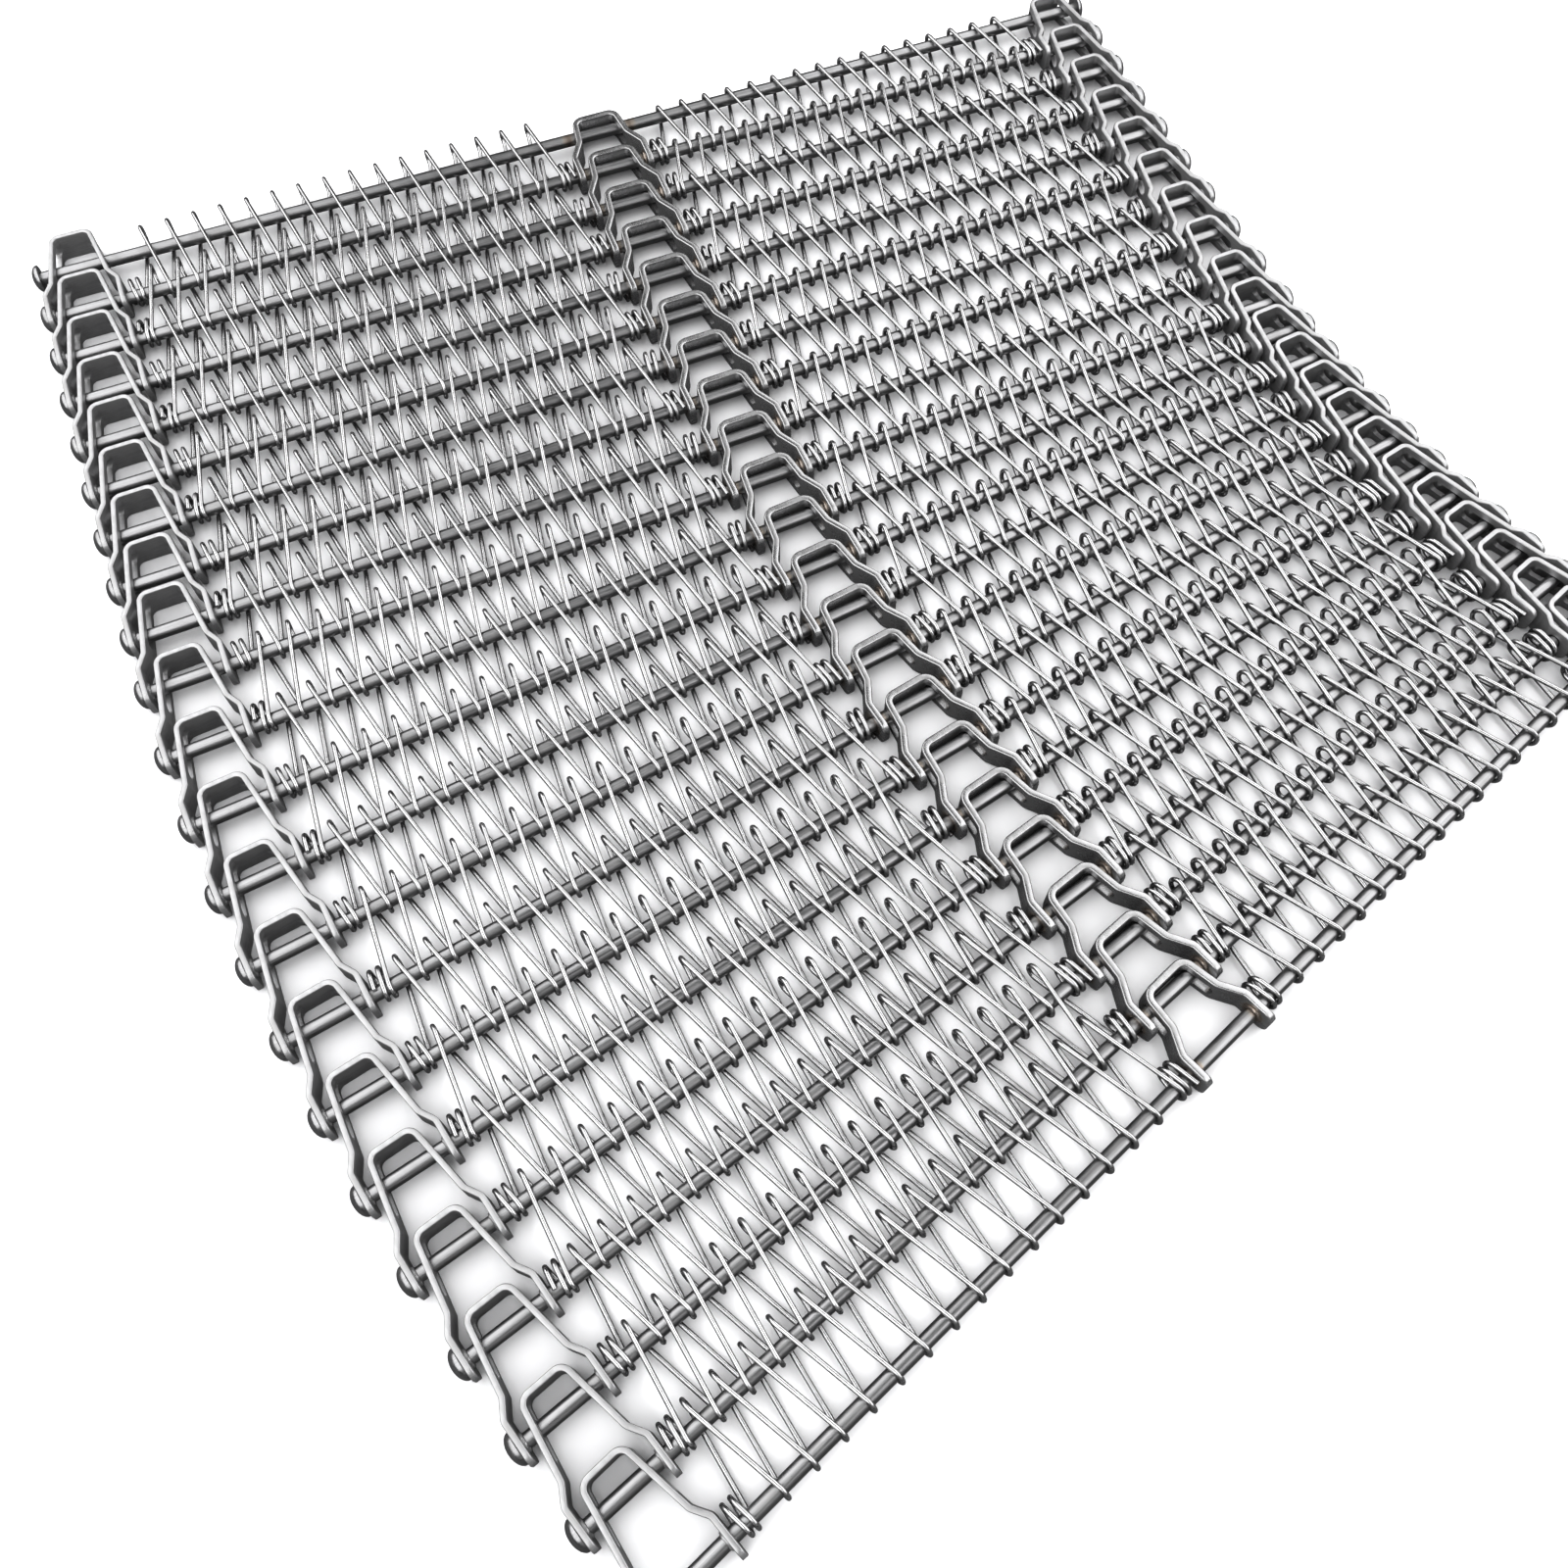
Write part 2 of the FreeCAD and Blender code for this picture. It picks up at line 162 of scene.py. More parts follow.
def makeSteelSurface():
    # What all the steel shares, each from 0 to 1
    inputs = [("Position", "Vector"), ("Line Scale", "Vector")]
    inputs += [("Smudge Scale", "Float"), ("Pit Scale", "Float")]
    outputs = [("Lines", "Float"), ("Smudges", "Float"), ("Pits", "Float")]
    tree, start, end = newGroup("steelSurface", inputs, outputs)
    stretch = addNode(tree, "ShaderNodeVectorMath", (-650, 200), operation="MULTIPLY")
    tree.links.new(start.outputs["Position"], stretch.inputs[0])
    tree.links.new(start.outputs["Line Scale"], stretch.inputs[1])
    lines = addNode(tree, "ShaderNodeTexNoise", (-400, 200))
    setInput(lines, "Scale", 1.0)
    setInput(lines, "Detail", grain["lineDetail"])
    setInput(lines, "Roughness", grain["lineRoughness"])
    tree.links.new(stretch.outputs[0], lines.inputs["Vector"])
    smudges = addNode(tree, "ShaderNodeTexNoise", (-400, -50))
    setInput(smudges, "Detail", grain["smudgeDetail"])
    setInput(smudges, "Distortion", grain["smudgeDistortion"])
    tree.links.new(start.outputs["Position"], smudges.inputs["Vector"])
    tree.links.new(start.outputs["Smudge Scale"], smudges.inputs["Scale"])
    pits = addNode(tree, "ShaderNodeTexVoronoi", (-400, -300))
    tree.links.new(start.outputs["Position"], pits.inputs["Vector"])
    tree.links.new(start.outputs["Pit Scale"], pits.inputs["Scale"])
    sharpLines = rangeNode(tree, (0, 200), lines.outputs[0], grain["lineRange"], (0.0, 1.0))
    softSmudges = rangeNode(tree, (0, -50), smudges.outputs[0], grain["smudgeRange"], (0.0, 1.0))
    deepPits = rangeNode(tree, (0, -300), pits.outputs["Distance"], grain["pitRange"], (1.0, 0.0))
    tree.links.new(sharpLines, end.inputs["Lines"])
    tree.links.new(softSmudges, end.inputs["Smudges"])
    tree.links.new(deepPits, end.inputs["Pits"])
    return tree


# Straw and brown colour beside a weld

tinting = {
    "blotchScale": 420.0,
    "blotchDetail": 2.0,
    "raggedness": 0.8,
    "fade": (0.45, 1.35),  # in shares of the reach
    "strength": 0.55,
    "straw": (0.62, 0.56, 0.44, 1),  # farthest out
    "bronze": (0.50, 0.38, 0.24, 1),
    "brown": (0.22, 0.15, 0.10, 1),  # beside the weld
}


def makeHeatTint():
    # Distance is measured from the edge of a hole or the middle of a bead
    inputs = [("Position", "Vector"), ("Distance", "Float"), ("Reach", "Float"), ("Steel", "Color")]
    tree, start, end = newGroup("heatTint", inputs, [("Color", "Color")])
    blotch = addNode(tree, "ShaderNodeTexNoise", (-650, -200))
    setInput(blotch, "Scale", tinting["blotchScale"])
    setInput(blotch, "Detail", tinting["blotchDetail"])
    tree.links.new(start.outputs["Position"], blotch.inputs["Vector"])
    share = mathNode(tree, "DIVIDE", (-650, 100), start.outputs["Distance"], start.outputs["Reach"])
    ragged = mathNode(tree, "MULTIPLY_ADD", (-420, 100), blotch.outputs[0], tinting["raggedness"])
    tree.links.new(share, ragged.node.inputs[2])
    mask = rangeNode(tree, (-200, 100), ragged, tinting["fade"], (1.0, 0.0))
    ramp = addNode(tree, "ShaderNodeValToRGB", (0, 300))
    ramp.color_ramp.elements.new(0.5)
    for element, name in zip(ramp.color_ramp.elements, ("straw", "bronze", "brown")):
        element.color = tinting[name]
    tree.links.new(mask, ramp.inputs["Fac"])
    amount = mathNode(tree, "MULTIPLY", (200, 0), mask, tinting["strength"])
    colour = mixColour(tree, (420, 100), amount, start.outputs["Steel"], ramp.outputs["Color"])
    tree.links.new(colour, end.inputs["Color"])
    return tree


steelSurface = makeSteelSurface()
heatTint = makeHeatTint()


def makeSteel(look):
    material = bpy.data.materials.new(look["name"])
    material.use_nodes = True
    tree = material.node_tree
    shader = tree.nodes["Principled BSDF"]
    setInput(shader, "Metallic", look.get("metal", 1.0))
    setInput(shader, "Anisotropic", look["anisotropy"])
    place = addNode(tree, "ShaderNodeTexCoord", (-1500, 0))
    surface = addNode(tree, "ShaderNodeGroup", (-1200, 0), node_tree=steelSurface)
    tree.links.new(place.outputs["Object"], surface.inputs["Position"])
    for mark in ("line", "smudge", "pit"):
        setInput(surface, mark.title() + " Scale", look[mark + "Scale"])
    lined = mixColour(tree, (-900, 250), surface.outputs["Lines"], look["dull"], look["bright"])
    smudged = mathNode(tree, "MULTIPLY", (-900, 50), surface.outputs["Smudges"], look["smudge"])
    colour = mixColour(tree, (-650, 200), smudged, lined, look["stain"])
    if "heat" in look:
        colour = addHeat(tree, look["heat"], place, colour)
    tree.links.new(colour, shader.inputs["Base Color"])
    spread = mathNode(tree, "MULTIPLY_ADD", (-650, -100), surface.outputs["Lines"], look["lineRoughness"])
    spread.node.inputs[2].default_value = look["roughness"]
    smudgeRough = look["smudgeRoughness"]
    rough = mathNode(tree, "MULTIPLY_ADD", (-420, -100), surface.outputs["Smudges"], smudgeRough)
    tree.links.new(spread, rough.node.inputs[2])
    tree.links.new(rough, shader.inputs["Roughness"])
    dents = mathNode(tree, "MULTIPLY", (-650, -350), surface.outputs["Pits"], -look["pitDepth"])
    height = mathNode(tree, "ADD", (-420, -350), surface.outputs["Lines"], dents)
    bump = addNode(tree, "ShaderNodeBump", (-200, -350))
    setInput(bump, "Strength", look["bump"])
    setInput(bump, "Distance", look["bumpHeight"])
    tree.links.new(height, bump.inputs["Height"])
    tree.links.new(bump.outputs["Normal"], shader.inputs["Normal"])
    return material


def addHeat(tree, heat, place, colour):
    # Distance from the nearest weld: from the hole's edge on a link, along the rod on a rod
    split = addNode(tree, "ShaderNodeSeparateXYZ", (-1200, 600))
    tree.links.new(place.outputs["Object"], split.inputs[0])
    if heat["round"]:
        across = mathNode(tree, "MULTIPLY", (-1000, 650), split.outputs["Y"], split.outputs["Y"])
        upward = mathNode(tree, "MULTIPLY", (-1000, 500), split.outputs["Z"], split.outputs["Z"])
        both = mathNode(tree, "ADD", (-820, 600), across, upward)
        away = mathNode(tree, "SQRT", (-640, 600), both, None)
        nearest = mathNode(tree, "SUBTRACT", (-460, 600), away, belt["holeRadius"], clamp=True)
    else:
        spread = []
        for number, spot in enumerate(heat["spots"]):
            shift = mathNode(tree, "SUBTRACT", (-1000, 700 + 160 * number), split.outputs["X"], spot)
            spread.append(mathNode(tree, "ABSOLUTE", (-820, 700 + 160 * number), shift, None))
        nearest = mathNode(tree, "MINIMUM", (-640, 780), *spread)
    tint = addNode(tree, "ShaderNodeGroup", (-250, 450), node_tree=heatTint)
    tree.links.new(place.outputs["Object"], tint.inputs["Position"])
    tree.links.new(nearest, tint.inputs["Distance"])
    setInput(tint, "Reach", heat["reach"])
    tree.links.new(colour, tint.inputs["Steel"])
    return tint.outputs["Color"]


def finishMesh(mesh, name, materials, sharpAngle):
    mesh.name = name
    mesh.materials.clear()
    for material in materials:
        mesh.materials.append(material)
    for polygon in mesh.polygons:
        polygon.use_smooth = True
    mesh.set_sharp_from_angle(angle=math.radians(sharpAngle))
    return mesh


def addPiece(name, mesh, place, body, node):
    piece = bpy.data.objects.new(name, mesh)
    bpy.context.scene.collection.objects.link(piece)
    piece.matrix_world = place
    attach(piece, body)
    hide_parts(node)


# Strip links, in their row's own frame: the front rod is along X through the origin

links = {
    "outer": {
        "strip": 0.0024,
        "openPitch": 0.0416,  # front rod to the back end of the slot
        "closedPitch": 0.025,  # front rod to the front end of the slot
        "baseHalf": 0.0097,
        "waistHalf": 0.0136,
        "endHalf": 0.0177,
        "waistReach": 0.0172,
        "flareReach": 0.0082,
        "cornerRadius": 0.003,
        "bendRadius": 0.0025,
        "edgeRound": 0.0005,
        "weld": 0.0009,
    },
    "centre": {
        "strip": 0.0032,
        "openPitch": 0.0274,
        "closedPitch": 0.019,
        "baseHalf": 0.0113,
        "waistHalf": 0.0127,
        "endHalf": 0.0185,
        "waistReach": 0.0182,
        "flareReach": 0.0053,
        "cornerRadius": 0.003,
        "bendRadius": 0.0035,
        "edgeRound": 0.0007,
        "weld": 0.0011,
    },
    "inner": {
        "strip": 0.0024,
        "openPitch": 0.0274,
        "closedPitch": 0.0165,
        "baseHalf": 0.0084,
        "waistHalf": 0.0116,
        "endHalf": 0.0151,
        "waistReach": 0.0102,
        "flareReach": 0.004,
        "cornerRadius": 0.0028,
        "bendRadius": 0.0015,
        "edgeRound": 0.0005,
        "weld": 0.0006,
    },
}
stripShape = {
    "halfHeight": 0.007,
    "overhang": 0.008,  # leg end beyond the rod's axis
    "tipRadius": 0.004,  # on the leg ends, seen from the side
    "bendSteps": 9,
    "edgeSteps": 4,
    "tipSteps": 8,
    "holeSides": 48,
    "cutBeyond": 0.005,  # of the hole cutters past the legs
    "slotEase": 0.00005,  # keeps the slot's end off the face of the base
    "sharpAngle": 38,
}
beadShape = {
    "ringSteps": 36,
    "tubeSteps": 10,
    "lumps": 0.28,  # in shares of the bead's size
    "lumpScale": 1.7,
    "squash": 0.8,  # thickness against width
    "seedGap": 3.0,  # sets the two beads of a link apart
}


def linkX(kind):
    own = links[kind]
    inset = belt["halfWidth"] - own["endHalf"] - own["strip"] / 2
    return {"outer": -inset, "centre": belt["centreOffset"], "inner": inset}[kind]


def leftOf(direction):
    return Vector((-direction.y, direction.x))


def passing(first, second, reach, side):
    # Direction of the straight stretch between two bends
    gap = second - first
    angle = math.atan2(gap.y, gap.x) - side * math.asin(reach / gap.length)
    return Vector((math.cos(angle), math.sin(angle)))


def legLine(own):
    # Middle of the strip from the middle of the base to the end of a leg: points with their directions
    corner = own["cornerRadius"] + own["strip"] / 2
    bend = own["bendRadius"] + own["strip"] / 2
    base = own["openPitch"] + belt["holeRadius"] + own["strip"] / 2
    pins = [
        Vector((own["baseHalf"] - corner, base - corner)),
        Vector((own["waistHalf"] + bend, own["waistReach"])),
        Vector((own["endHalf"] - bend, own["flareReach"])),
    ]
    along = [
        Vector((1, 0)),
        passing(pins[0], pins[1], corner + bend, 1),
        passing(pins[1], pins[2], 2 * bend, -1),
        Vector((0, -1)),
    ]
    line = [(Vector((0, base)), along[0])]
    steps = stripShape["bendSteps"]
    for pin, radius, before, after in zip(pins, (corner, -bend, bend), along, along[1:]):
        begin = math.atan2(before.y, before.x)
        swing = math.atan2(before.cross(after), before.dot(after))
        for step in range(steps + 1):
            angle = begin + swing * step / steps
            turned = Vector((math.cos(angle), math.sin(angle)))
            line.append((pin + leftOf(turned) * radius, turned))
    tip = stripShape["tipRadius"]
    end = Vector((own["endHalf"], -stripShape["overhang"]))
    for step in range(stripShape["tipSteps"] + 1):
        lean = math.pi / 2 * step / stripShape["tipSteps"]
        line.append((end + Vector((0, tip * (1 - math.sin(lean)))), along[3]))
    return line


def stripSection(own, halfHeight):
    # Rounded edges all round: offsets across the strip and heights
    rounding = own["edgeRound"]
    halfStrip = own["strip"] / 2
    section = []
    for number, (side, rise) in enumerate(((1, 1), (-1, 1), (-1, -1), (1, -1))):
        for step in range(stripShape["edgeSteps"] + 1):
            angle = math.pi / 2 * (number + step / stripShape["edgeSteps"])
            across = side * (halfStrip - rounding) + rounding * math.cos(angle)
            section.append((across, rise * (halfHeight - rounding) + rounding * math.sin(angle)))
    return section


def sweptStrip(own):
    half = legLine(own)
    line = [(Vector((-p.x, p.y)), Vector((d.x, -d.y))) for p, d in reversed(half[1:])] + half
    end = -stripShape["overhang"]
    tip = stripShape["tipRadius"]
    work = bmesh.new()
    rings = []
    for point, along in line:
        fromEnd = min(max((point.y - end) / tip, 0.0), 1.0)
        drop = tip * (1 - math.sqrt(1 - (1 - fromEnd) ** 2))
        ring = []
        for across, height in stripSection(own, stripShape["halfHeight"] - drop):
            spot = point + leftOf(along) * across
            ring.append(work.verts.new((spot.x, spot.y, height)))
        rings.append(ring)
    for ring, following in zip(rings, rings[1:]):
        for index in range(len(ring)):
            after = (index + 1) % len(ring)
            work.faces.new((ring[index], ring[after], following[after], following[index]))
    work.faces.new(list(reversed(rings[0])))
    work.faces.new(rings[-1])
    bmesh.ops.recalc_face_normals(work, faces=work.faces)
    return work


def slotCutter(front, back, halfLength):
    # A round-ended bar along X, to cut a hole or a slot through both legs
    radius = belt["holeRadius"]
    sides = stripShape["holeSides"]
    work = bmesh.new()
    ends = []
    for x in (-halfLength, halfLength):
        ring = []
        for step in range(sides):
            angle = math.tau * (step + 0.5) / sides
            middle = back if math.cos(angle) > 0 else front
            ring.append(work.verts.new((x, middle + radius * math.cos(angle), radius * math.sin(angle))))
        ends.append(ring)
    for index in range(sides):
        after = (index + 1) % sides
        work.faces.new((ends[0][index], ends[0][after], ends[1][after], ends[1][index]))
    work.faces.new(list(reversed(ends[0])))
    work.faces.new(ends[1])
    bmesh.ops.recalc_face_normals(work, faces=work.faces)
    return work


def meshFrom(work, name):
    mesh = bpy.data.meshes.new(name)
    work.to_mesh(mesh)
    work.free()
    return mesh


def cutMesh(mesh, cutters):
    # The mesh with the cutters taken out of it
    scene = bpy.context.scene
    body = bpy.data.objects.new("cutBody", mesh)
    scene.collection.objects.link(body)
    tools = []
    for number, cutter in enumerate(cutters):
        tool = bpy.data.objects.new("cutTool%d" % number, cutter)
        scene.collection.objects.link(tool)
        tools.append(tool)
        cut = body.modifiers.new("cut%d" % number, "BOOLEAN")
        cut.operation = "DIFFERENCE"
        cut.solver = "EXACT"
        cut.object = tool
    bpy.context.view_layer.update()
    shaped = bpy.data.meshes.new_from_object(body.evaluated_get(bpy.context.evaluated_depsgraph_get()))
    for extra in tools + [body]:
        data = extra.data
        bpy.data.objects.remove(extra)
        bpy.data.meshes.remove(data)
    return shaped


def weldBead(work, x, size, seed):
    # An uneven fillet of weld metal round the rod where it meets a leg
    ringSteps, tubeSteps = beadShape["ringSteps"], beadShape["tubeSteps"]
    rings = []
    for step in range(ringSteps):
        around = math.tau * step / ringSteps
        ring = []
        for part in range(tubeSteps):
            swing = math.tau * part / tubeSteps
            spot = Vector((math.cos(swing), math.sin(around), math.cos(around)))
            unevenness = noise.noise(spot * beadShape["lumpScale"] + Vector((seed, 0, 0)))
            lump = 1 + beadShape["lumps"] * unevenness
            radius = belt["holeRadius"] + size * lump * math.sin(swing) * beadShape["squash"]
            ring.append(work.verts.new((
                x + size * lump * math.cos(swing),
                radius * math.sin(around),
                radius * math.cos(around),
            )))
        rings.append(ring)
    faces = []
    for index, ring in enumerate(rings):
        following = rings[(index + 1) % ringSteps]
        for part in range(tubeSteps):
            after = (part + 1) % tubeSteps
            faces.append(work.faces.new((ring[part], ring[after], following[after], following[part])))
    for face in faces:
        face.material_index = 1
    return faces


def makeLinkMesh(kind, materials):
    own = links[kind]
    reach = own["endHalf"] + stripShape["cutBeyond"]
    backEnd = own["openPitch"] - stripShape["slotEase"]
    cutters = [
        meshFrom(slotCutter(0, 0, reach), "holeTool"),
        meshFrom(slotCutter(own["closedPitch"], backEnd, reach), "slotTool"),
    ]
    mesh = cutMesh(meshFrom(sweptStrip(own), kind + "Strip"), cutters)
    work = bmesh.new()
    work.from_mesh(mesh)
    face = own["endHalf"] - own["strip"] / 2
    for side in (-1, 1):
        beads = weldBead(work, side * face, own["weld"], side * beadShape["seedGap"] + len(kind))
        bmesh.ops.recalc_face_normals(work, faces=beads)
    bmesh.ops.translate(work, verts=work.verts, vec=(linkX(kind), 0, 0))
    work.to_mesh(mesh)
    work.free()
    return finishMesh(mesh, kind + "Link", materials, stripShape["sharpAngle"])


# Cross rods with a button head on each end

rodShape = {
    "radius": 0.003,
    "headRadius": 0.0065,
    "headRise": 0.0042,
    "headLip": 0.0005,  # from the flat under the head to the dome
    "headRim": 0.0002,  # from the flat to the straight rim
    "headChamfer": 0.0004,  # the flat's edge inside the rim
    "sides": 40,
    "domeSteps": 12,
    "pointRadius": 1e-7,  # a smaller ring is one point
    "spinStep": 2.4,  # radians from rod to rod, so no two show the same marks
    "sharpAngle": 40,
}


def makeRodMesh(material):
    half = belt["halfWidth"]
    lip = rodShape["headLip"]
    profile = []
    for step in range(rodShape["domeSteps"] + 1):
        lean = math.pi / 2 * step / rodShape["domeSteps"]
        rise = lip + (rodShape["headRise"] - lip) * math.cos(lean)
        profile.append((half + rise, rodShape["headRadius"] * math.sin(lean)))
    profile.append((half + rodShape["headRim"], rodShape["headRadius"]))
    profile.append((half, rodShape["headRadius"] - rodShape["headChamfer"]))
    profile.append((half, rodShape["radius"]))
    whole = profile + [(-x, r) for x, r in reversed(profile)]
    work = bmesh.new()
    sides = rodShape["sides"]
    rings = []
    for x, radius in whole:
        if radius < rodShape["pointRadius"]:
            rings.append([work.verts.new((x, 0, 0))])
            continue
        ring = []
        for side in range(sides):
            angle = math.tau * side / sides
            ring.append(work.verts.new((x, radius * math.cos(angle), radius * math.sin(angle))))
        rings.append(ring)
    for ring, following in zip(rings, rings[1:]):
        for side in range(sides):
            after = (side + 1) % sides
            if len(ring) == 1:
                work.faces.new((ring[0], following[side], following[after]))
            elif len(following) == 1:
                work.faces.new((ring[side], ring[after], following[0]))
            else:
                work.faces.new((ring[side], ring[after], following[after], following[side]))
    bmesh.ops.recalc_face_normals(work, faces=work.faces)
    return finishMesh(meshFrom(work, "rodMesh"), "crossRod", [material], rodShape["sharpAngle"])


# Flat wire spirals: rings round the front rod at both ends, loops over both rods between them

spirals = {
    "outer": {"run": 0.040, "start": ("outer", 1), "end": ("centre", -1)},
    "inner": {"run": 0.0285, "start": ("centre", 1), "end": ("inner", -1)},
}
wireShape = {
    "radius": 0.001,
    "bendRadius": 0.00435,  # middle of the wire round a rod
    "loops": 16,
    "ringTurns": 2,
    "ringStep": 0.0036,  # of an end ring along the rod
    "ringRun": 0.005,  # straight stretch of an end ring
    "bayGap": 0.001,  # between the end of a spiral and the link beside it
    "handle": 0.5523,  # handle length that makes a quarter circle
    "curveSteps": 6,
    "sectionSteps": 3,
    "sharpAngle": 50,
}


def bayEdge(kind, side):
    own = links[kind]
    return linkX(kind) + side * (own["endHalf"] + own["strip"] / 2 + wireShape["bayGap"])


def wirePoints(own, hand):
    # Each point with its two handles: the straights lie over and under the rods
    radius = wireShape["bendRadius"]
    start, end = bayEdge(*own["start"]), bayEdge(*own["end"])
    loops, turns = wireShape["loops"], wireShape["ringTurns"]
    ringPath = wireShape["ringRun"] + 2 * radius
    ringSlope = wireShape["ringStep"] / (2 * ringPath)
    ringLength = ringSlope * (4 * turns * ringPath - 4 * radius)
    # The half turns of the loops stand square to the rods, so the straights take the whole step
    loopSlope = (end - start - 2 * wireShape["radius"] - ringLength) / (2 * loops * own["run"])
    rings = [(wireShape["ringRun"], ringSlope)] * (2 * turns)
    runs = rings + [(own["run"], loopSlope)] * (2 * loops) + rings
    headings = []
    for number, (_, slope) in enumerate(runs):
        backward = 1 if number % 2 == 0 else -1
        headings.append(Vector((slope, backward * math.sqrt(1 - slope * slope), 0)))
    pull = wireShape["handle"] * radius
    point = Vector((start + wireShape["radius"], 0, hand * radius))
    points = []
    for number, (length, slope) in enumerate(runs):
        along = headings[number]
        points.append((point, point - along * pull, point + along * length / 3))
        point = point + along * length
        points.append((point, point - along * length / 3, point + along * pull))
        if number + 1 < len(runs):
            down = Vector((0, 0, -hand if number % 2 == 0 else hand))
            into, out = along, headings[number + 1]
            if loopSlope in (slope, runs[number + 1][1]):
                into, out = Vector((0, along.y, 0)), Vector((0, out.y, 0))
            dip = point + (into + down) * radius
            points.append((dip, dip - down * pull, dip + down * pull))
            point = dip + (out + down) * radius
    tail = point + headings[-1] * radius
    points.append((tail, point.lerp(tail, 0.5), tail + headings[-1] * pull))
    return points


def makeSpiralMesh(kind, hand, material):
    curve = bpy.data.curves.new("wireLine", "CURVE")
    curve.dimensions = "3D"
    curve.resolution_u = wireShape["curveSteps"]
    curve.bevel_depth = wireShape["radius"]
    curve.bevel_resolution = wireShape["sectionSteps"]
    curve.use_fill_caps = True
    points = wirePoints(spirals[kind], hand)
    spline = curve.splines.new("BEZIER")
    spline.bezier_points.add(len(points) - 1)
    for knot, (middle, before, after) in zip(spline.bezier_points, points):
        knot.co = middle
        knot.handle_left = before
        knot.handle_right = after
    holder = bpy.data.objects.new("wireHolder", curve)
    bpy.context.scene.collection.objects.link(holder)
    bpy.context.view_layer.update()
    mesh = bpy.data.meshes.new_from_object(holder.evaluated_get(bpy.context.evaluated_depsgraph_get()))
    bpy.data.objects.remove(holder)
    bpy.data.curves.remove(curve)
    name = "%sSpiral%s" % (kind, "Over" if hand > 0 else "Under")
    return finishMesh(mesh, name, [material], wireShape["sharpAngle"])


# Steel finishes

weldGap = links["centre"]["endHalf"] - links["centre"]["strip"] / 2
rodWelds = [linkX("centre") + side * weldGap for side in (-1, 1)]

stripLook = {
    "name": "rolledStrip",
    "metal": 0.72,  # its fine pickled grain scatters part of the light
    "bright": (0.52, 0.52, 0.525, 1),
    "dull": (0.42, 0.42, 0.424, 1),
    "stain": (0.35, 0.346, 0.338, 1),
    "lineScale": (260.0, 60.0, 2600.0),
    "smudgeScale": 110.0,
    "pitScale": 900.0,
    "smudge": 0.28,
    "roughness": 0.30,
    "lineRoughness": 0.07,
    "smudgeRoughness": 0.10,
    "pitDepth": 0.5,
    "bump": 0.12,
    "bumpHeight": 0.00004,
    "anisotropy": 0.2,
}
centreLook = dict(stripLook, name="weldedStrip", metal=0.85, roughness=0.2)
centreLook["heat"] = {"round": True, "reach": 0.0032}
rodLook = {
    "name": "drawnRod",
    "bright": (0.46, 0.46, 0.465, 1),
    "dull": (0.36, 0.36, 0.364, 1),
    "stain": (0.30, 0.296, 0.288, 1),
    "lineScale": (18.0, 1500.0, 1500.0),
    "smudgeScale": 70.0,
    "pitScale": 700.0,
    "smudge": 0.30,
    "roughness": 0.27,
    "lineRoughness": 0.08,
    "smudgeRoughness": 0.10,
    "pitDepth": 0.4,
    "bump": 0.1,
    "bumpHeight": 0.00004,
    "anisotropy": 0.25,
    "heat": {"round": False, "reach": 0.0042, "spots": rodWelds},
}
wireLook = {
    "name": "springWire",
    "bright": (0.64, 0.64, 0.645, 1),
    "dull": (0.54, 0.54, 0.544, 1),
    "stain": (0.47, 0.467, 0.462, 1),
    "lineScale": (900.0, 120.0, 900.0),
    "smudgeScale": 130.0,
    "pitScale": 1200.0,
    "smudge": 0.30,
    "roughness": 0.21,
    "lineRoughness": 0.07,
    "smudgeRoughness": 0.10,
    "pitDepth": 0.3,
    "bump": 0.2,
    "bumpHeight": 0.00003,
    "anisotropy": 0.0,
}
weldLook = {
    "name": "weldBead",
    "bright": (0.62, 0.60, 0.56, 1),
    "dull": (0.46, 0.43, 0.39, 1),
    "stain": (0.24, 0.18, 0.13, 1),
    "lineScale": (900.0, 900.0, 900.0),
    "smudgeScale": 380.0,
    "pitScale": 1500.0,
    "smudge": 0.75,
    "roughness": 0.24,
    "lineRoughness": 0.14,
    "smudgeRoughness": 0.14,
    "pitDepth": 0.8,
    "bump": 0.5,
    "bumpHeight": 0.00012,
    "anisotropy": 0.0,
}
edgeSteel = makeSteel(stripLook)
centreSteel = makeSteel(centreLook)
rodSteel = makeSteel(rodLook)
wireSteel = makeSteel(wireLook)
weldSteel = makeSteel(weldLook)
print("finishes made")


def placeRods():
    mesh = makeRodMesh(rodSteel)
    for number, place in sorted(rodAt.items()):
        body = rodBody(number)
        node = nodeOf("cross_rod", number, body)
        spin = Matrix.Rotation(number * rodShape["spinStep"], 4, "X")
        addPiece("crossRod-%02d" % number, mesh, place @ spin, body, node)
    print("rods placed:", len(rodAt), "with", len(mesh.polygons), "faces each")


def placeLinks():
    for kind in links:
        steel = centreSteel if kind == "centre" else edgeSteel
        mesh = makeLinkMesh(kind, [steel, weldSteel])
        for row in range(1, belt["rows"] + 1):
            body = rowBody(row)
            node = nodeOf("link_row", row, body)
            addPiece("%sLink-%02d" % (kind, row), mesh, rodAt[row + 1], body, node)
        print(kind, "links placed, with", len(mesh.polygons), "faces each")


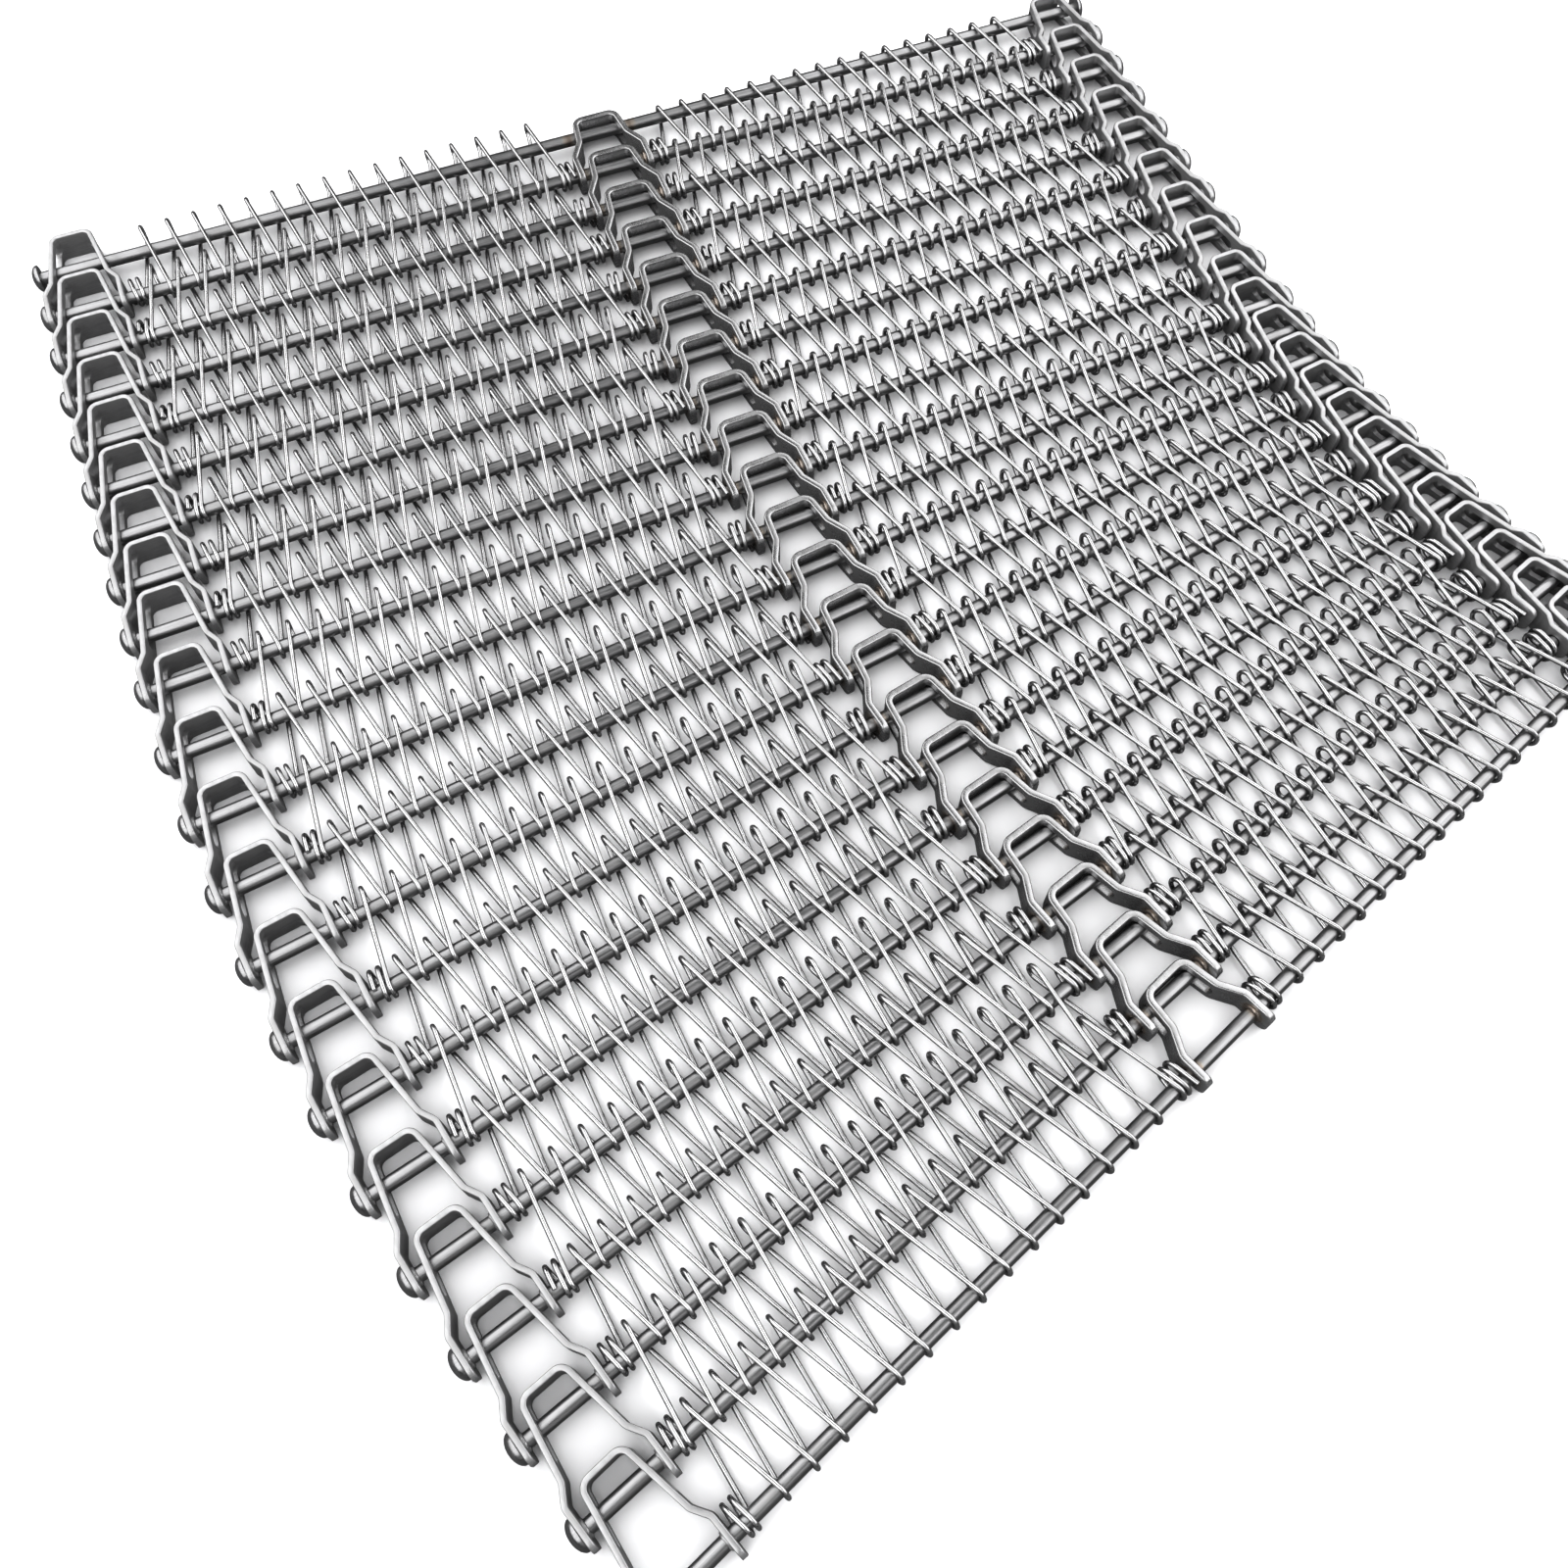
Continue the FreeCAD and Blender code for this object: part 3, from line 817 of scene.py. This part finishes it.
def placeSpirals():
    for kind in spirals:
        meshes = [makeSpiralMesh(kind, 1, wireSteel), makeSpiralMesh(kind, -1, wireSteel)]
        for row in range(1, belt["rows"] + 1):
            body = rowBody(row)
            node = nodeOf("spiral_pair", row, body)
            mesh = meshes[row % 2]  # the rows' spirals are left and right-handed by turns
            addPiece("%sSpiral-%02d" % (kind, row), mesh, rodAt[row + 1], body, node)
        print(kind, "spirals placed, with", len(meshes[0].polygons), "faces each")


placeRods()
placeLinks()
placeSpirals()

# Pale floor, soft light and the photograph's camera

studio = {
    "floorSize": 6.0,
    "floorFade": (1.2, 2.4),  # how far out the floor starts and ends its fade into the backdrop
    "floorColour": (0.86, 0.86, 0.865, 1),
    "floorShade": (0.83, 0.83, 0.84, 1),
    "reflectedFloorPaintedShade": (0.11, 0.11, 0.112, 1),  # painted shade: a darker floor colour that only the steel's reflections see
    "floorRoughness": 0.55,
    "cloudScale": 1.5,  # of the floor's faint shading
    "room": (0.012, 0.012, 0.0125, 1),  # what the steel reflects beside the panels
    "backdrop": (1.0, 1.0, 1.0, 1),  # what a low camera sees behind the belt
    "fill": (0.42, 0.42, 0.42, 1),  # soft light on the floor between the wires
    "gamma": 0.7,  # the photograph's contrast
    # Two soft panels slope like a tent, with a dark gap along its ridge, and a dimmer one stands in front:
    # middle, size, turn about X and Y in degrees, and brightness
    "panels": {
        "leftPanel": ((-1.04, 0.65, 1.03), (1.97, 4.30), (0, -29), 2.25),
        "rightPanel": ((1.26, 0.10, 1.03), (1.93, 3.60), (0, 29), 2.25),
        "frontPanel": ((0.20, -2.20, 1.00), (3.00, 1.60), (55, 0), 0.45),
    },
}
view = {
    "eye": (-0.1576, -0.3186, 0.5690),
    "look": (0.14990, 0.40484, -0.90202),
    "down": (-0.31566, -0.84498, -0.43170),
    "lens": 34.18,
    "sensor": 36,
    "clipStart": 0.01,
}


def makeFloor():
    size = studio["floorSize"] / 2
    mesh = bpy.data.meshes.new("floorMesh")
    corners = [(-size, -size, 0), (size, -size, 0), (size, size, 0), (-size, size, 0)]
    mesh.from_pydata(corners, [], [(0, 1, 2, 3)])
    floor = bpy.data.objects.new("floor", mesh)
    bpy.context.scene.collection.objects.link(floor)
    material = bpy.data.materials.new("paleFloor")
    material.use_nodes = True
    tree = material.node_tree
    shader = tree.nodes["Principled BSDF"]
    setInput(shader, "Roughness", studio["floorRoughness"])
    place = addNode(tree, "ShaderNodeTexCoord", (-800, 0))
    cloud = addNode(tree, "ShaderNodeTexNoise", (-600, 0))
    setInput(cloud, "Scale", studio["cloudScale"])
    tree.links.new(place.outputs["Object"], cloud.inputs["Vector"])
    shade = mixColour(tree, (-400, 0), cloud.outputs[0], studio["floorShade"], studio["floorColour"])
    ray = addNode(tree, "ShaderNodeLightPath", (-400, 300))
    # Painted shade: glossy rays, the steel's reflections, see a darker floor than the camera and the
    # diffuse light do
    seen = mixColour(tree, (-200, 0), ray.outputs["Is Glossy Ray"], shade, studio["reflectedFloorPaintedShade"])
    tree.links.new(seen, shader.inputs["Base Color"])
    away = addNode(tree, "ShaderNodeVectorMath", (-600, -250), operation="LENGTH")
    tree.links.new(place.outputs["Object"], away.inputs[0])
    solid = rangeNode(tree, (-300, -250), away.outputs["Value"], studio["floorFade"], (1.0, 0.0))
    tree.links.new(solid, shader.inputs["Alpha"])
    mesh.materials.append(material)


def makeLights():
    world = bpy.data.worlds.new("studioWorld")
    bpy.context.scene.world = world
    world.use_nodes = True
    tree = world.node_tree
    room = tree.nodes["Background"]
    setInput(room, "Color", studio["room"])
    ray = addNode(tree, "ShaderNodeLightPath", (-200, 400))
    light = room.outputs[0]
    for column, (kind, name) in enumerate((("Is Diffuse Ray", "fill"), ("Is Camera Ray", "backdrop"))):
        other = addNode(tree, "ShaderNodeBackground", (200 * column, -200))
        setInput(other, "Color", studio[name])
        pick = addNode(tree, "ShaderNodeMixShader", (200 + 200 * column, 200))
        tree.links.new(ray.outputs[kind], pick.inputs["Fac"])
        tree.links.new(light, pick.inputs[1])
        tree.links.new(other.outputs[0], pick.inputs[2])
        light = pick.outputs[0]
    tree.links.new(light, tree.nodes["World Output"].inputs["Surface"])
    for name, (middle, (width, depth), turns, brightness) in studio["panels"].items():
        lamp = bpy.data.lights.new(name, "AREA")
        lamp.shape = "RECTANGLE"
        lamp.size = width
        lamp.size_y = depth
        lamp.energy = brightness * math.pi * width * depth
        holder = bpy.data.objects.new(name, lamp)
        bpy.context.scene.collection.objects.link(holder)
        holder.location = middle
        holder.rotation_euler = (math.radians(turns[0]), math.radians(turns[1]), 0)
        holder.visible_camera = False


def makeCamera():
    lens = bpy.data.cameras.new("photoCamera")
    lens.lens = view["lens"]
    lens.sensor_width = view["sensor"]
    lens.clip_start = view["clipStart"]
    camera = bpy.data.objects.new("photoCamera", lens)
    bpy.context.scene.collection.objects.link(camera)
    back = -Vector(view["look"]).normalized()
    up = -Vector(view["down"]).normalized()
    right = up.cross(back).normalized()
    turn = Matrix((right, up, back)).transposed()
    camera.matrix_world = Matrix.Translation(view["eye"]) @ turn.to_4x4()
    bpy.context.scene.camera = camera


makeFloor()
makeLights()
makeCamera()
tone = bpy.context.scene.view_settings
tone.view_transform = "Standard"
tone.gamma = studio["gamma"]
print("studio set")
